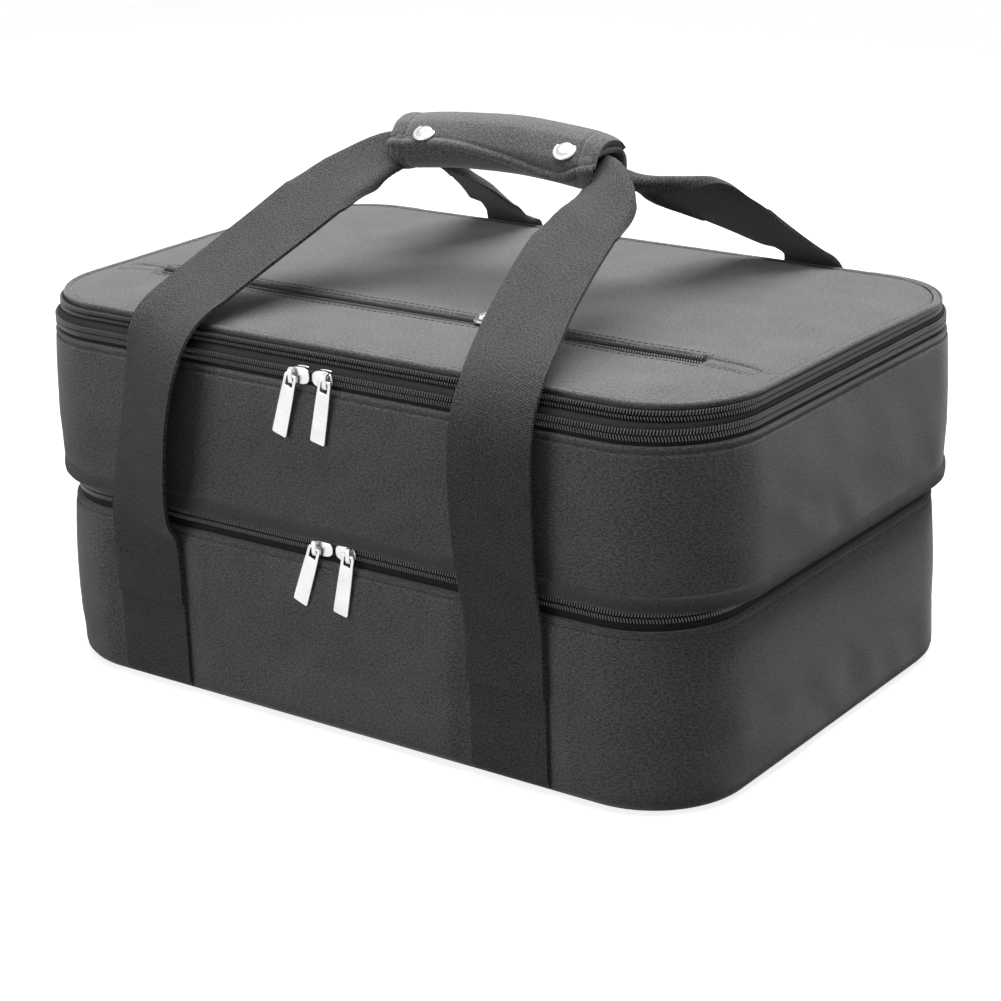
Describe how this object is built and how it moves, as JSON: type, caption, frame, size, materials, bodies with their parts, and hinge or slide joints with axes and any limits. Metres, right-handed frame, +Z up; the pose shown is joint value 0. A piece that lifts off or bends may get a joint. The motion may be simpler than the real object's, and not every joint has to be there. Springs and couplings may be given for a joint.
{
  "type": "casserole carrier",
  "caption": "Soft insulated double-deck food carrier with zipped upper and lower compartments, a zip pocket in the lid and webbing straps that meet in a snap-over padded grip.",
  "frame": {"origin": "on the floor under the middle of the overall box, at the underside of the two straps that the carrier stands on; the middle of the decks is 2.5 mm to the right of it and 8.4 mm behind it", "axes": "+X along the length, towards the right as seen from the front; +Y towards the back, where the hinges are; +Z up"},
  "size_m": [0.4379, 0.3052, 0.2918],
  "materials": {
    "heather": "woven polyester, heather grey, matt",
    "webbing": "ribbed polypropylene webbing, matt",
    "binding": "ribbed binding tape, matt",
    "zip": "nylon coil on woven tape",
    "liner": "silvered film liner, satin",
    "foam": "closed-cell foam, matt",
    "board": "stiffening board, matt",
    "nickel": "bright nickel plate"
  },
  "bodies": {
    "lower_case": {"lower_shell": "heather", "lower_base_board": "board", "lower_liner": "liner", "deck_zip_lower_half": "zip", "base_strap_left": "webbing", "base_strap_right": "webbing"},
    "upper_case": {"upper_shell": "heather", "upper_base_board": "board", "upper_liner": "liner", "upper_binding": "binding", "deck_zip_upper_half": "zip", "lid_zip_lower_half": "zip", "back_strap_leg_left": "webbing", "back_strap_leg_right": "webbing"},
    "lid_rim": {"lid_zip_upper_half": "zip", "rim_band": "zip", "expansion_zip_lower_half": "zip", "expansion_gusset": "heather"},
    "lid_panel": {"lid_shell": "heather", "lid_foam": "foam", "lid_liner": "liner", "expansion_zip_upper_half": "zip", "pocket_zip_back_half": "zip", "pocket_zip_front_half": "zip", "pocket_tab_left": "heather", "pocket_tab_right": "heather", "back_strap_loop": "webbing", "grip_wrap": "heather", "snap_stud_left": "nickel", "snap_stud_right": "nickel"},
    "grip_flap": {"grip_flap": "heather", "snap_cap_left": "nickel", "snap_cap_right": "nickel"},
    "front_strap": {"front_strap_leg_left": "webbing", "front_strap_leg_right": "webbing"},
    "front_loop": {"front_strap_loop": "webbing"},
    "lid_left_slider": {"lid_left_slider": "nickel"},
    "lid_left_pull": {"lid_left_pull": "nickel"},
    "lid_right_slider": {"lid_right_slider": "nickel"},
    "lid_right_pull": {"lid_right_pull": "nickel"},
    "deck_left_slider": {"deck_left_slider": "nickel"},
    "deck_left_pull": {"deck_left_pull": "nickel"},
    "deck_right_slider": {"deck_right_slider": "nickel"},
    "deck_right_pull": {"deck_right_pull": "nickel"},
    "pocket_slider": {"pocket_slider": "nickel"},
    "pocket_pull": {"pocket_pull": "nickel"},
    "expansion_slider": {"expansion_slider": "nickel"},
    "expansion_pull": {"expansion_pull": "nickel"}
  },
  "joints": [
    {"name": "deck_hinge", "type": "hinge", "parent": "lower_case", "child": "upper_case", "pos_m": [0.0025, 0.1524, 0.0995], "axis": [-1, 0, 0], "range_deg": [0, 80]},
    {"name": "lid_hinge", "type": "hinge", "parent": "upper_case", "child": "lid_rim", "pos_m": [0.0025, 0.1524, 0.1882], "axis": [-1, 0, 0], "range_deg": [0, 95]},
    {"name": "lid_expand", "type": "slide", "parent": "lid_rim", "child": "lid_panel", "axis": [0, 0, 1], "range_m": [0, 0.05], "deforming": ["expansion_gusset", "back_strap_loop"]},
    {"name": "grip_flap_open", "type": "hinge", "parent": "lid_panel", "child": "grip_flap", "pos_m": [0.0095, 0.0302, 0.281], "axis": [-1, 0, 0], "range_deg": [0, 150]},
    {"name": "front_strap_drop", "type": "hinge", "parent": "lower_case", "child": "front_strap", "pos_m": [0.0025, -0.1329, 0.0823], "axis": [1, 0, 0], "range_deg": [0, 115], "deforming": ["front_strap_loop"]},
    {"name": "front_loop_rise", "type": "slide", "parent": "front_strap", "child": "front_loop", "axis": [0, 0, 1], "range_m": [0, 0.05], "deforming": ["front_strap_leg_left", "front_strap_leg_right"]},
    {"name": "lid_left_slide", "type": "slide", "parent": "upper_case", "child": "lid_left_slider", "axis": [-1, 0, 0], "range_m": [0, 0.135]},
    {"name": "lid_right_slide", "type": "slide", "parent": "upper_case", "child": "lid_right_slider", "axis": [1, 0, 0], "range_m": [0, 0.15]},
    {"name": "deck_left_slide", "type": "slide", "parent": "lower_case", "child": "deck_left_slider", "axis": [-1, 0, 0], "range_m": [0, 0.075]},
    {"name": "deck_right_slide", "type": "slide", "parent": "lower_case", "child": "deck_right_slider", "axis": [1, 0, 0], "range_m": [0, 0.065]},
    {"name": "pocket_slide", "type": "slide", "parent": "lid_panel", "child": "pocket_slider", "axis": [1, 0, 0], "range_m": [-0.2, 0.112]},
    {"name": "expansion_slide", "type": "slide", "parent": "lid_rim", "child": "expansion_slider", "axis": [0, 1, 0], "range_m": [-0.115, 0.035]},
    {"name": "lid_left_pull_swing", "type": "hinge", "parent": "lid_left_slider", "child": "lid_left_pull", "pos_m": [-0.01525, -0.1348, 0.1882], "axis": [-1, 0, 0], "range_deg": [0, 150]},
    {"name": "lid_right_pull_swing", "type": "hinge", "parent": "lid_right_slider", "child": "lid_right_pull", "pos_m": [0.00625, -0.1348, 0.1882], "axis": [-1, 0, 0], "range_deg": [0, 150]},
    {"name": "deck_left_pull_swing", "type": "hinge", "parent": "deck_left_slider", "child": "deck_left_pull", "pos_m": [-0.00725, -0.1336, 0.0995], "axis": [-1, 0, 0], "range_deg": [0, 150]},
    {"name": "deck_right_pull_swing", "type": "hinge", "parent": "deck_right_slider", "child": "deck_right_pull", "pos_m": [0.01425, -0.1336, 0.0995], "axis": [-1, 0, 0], "range_deg": [0, 150]},
    {"name": "pocket_pull_swing", "type": "hinge", "parent": "pocket_slider", "child": "pocket_pull", "pos_m": [0.0465, -0.0576, 0.2077], "axis": [1, 0, 0], "range_deg": [0, 165]},
    {"name": "expansion_pull_swing", "type": "hinge", "parent": "expansion_slider", "child": "expansion_pull", "pos_m": [-0.2157, 0.0484, 0.19505], "axis": [0, 1, 0], "range_deg": [0, 150]}
  ],
  "couplings": [
    {"joint": "front_strap_drop", "follows": "lid_hinge", "ratio": 1.21},
    {"joint": "grip_flap_open", "follows": "lid_hinge", "ratio": 1.5789},
    {"joint": "front_loop_rise", "follows": "lid_expand", "ratio": 1}
  ]
}
